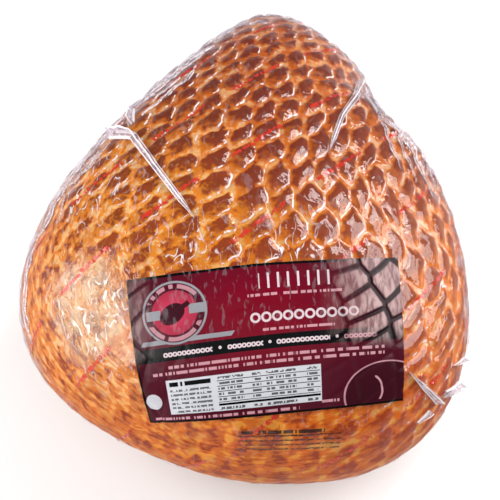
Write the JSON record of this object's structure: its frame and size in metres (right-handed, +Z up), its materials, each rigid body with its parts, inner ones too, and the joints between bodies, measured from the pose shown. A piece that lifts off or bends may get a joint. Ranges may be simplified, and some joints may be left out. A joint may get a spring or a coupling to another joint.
{
  "type": "bone-in ham",
  "caption": "Whole smoked bone-in ham with a net-pressed, browned skin, sealed in a tight clear bag with a printed label, lying on a small flat foot.",
  "frame": {"origin": "on the floor under the middle of the ham", "axes": "+Z up out of the shown side, +Y along the ham towards the shank end, +X to the right as the label is read"},
  "size_m": [0.2706, 0.3482, 0.1688],
  "materials": {
    "bagged_ham": "browned, net-pressed ham skin seen through a glossy clear bag",
    "label": "glossy burgundy print"
  },
  "bodies": {
    "root": {"bagged_ham": "bagged_ham", "label": "label"}
  },
  "joints": []
}
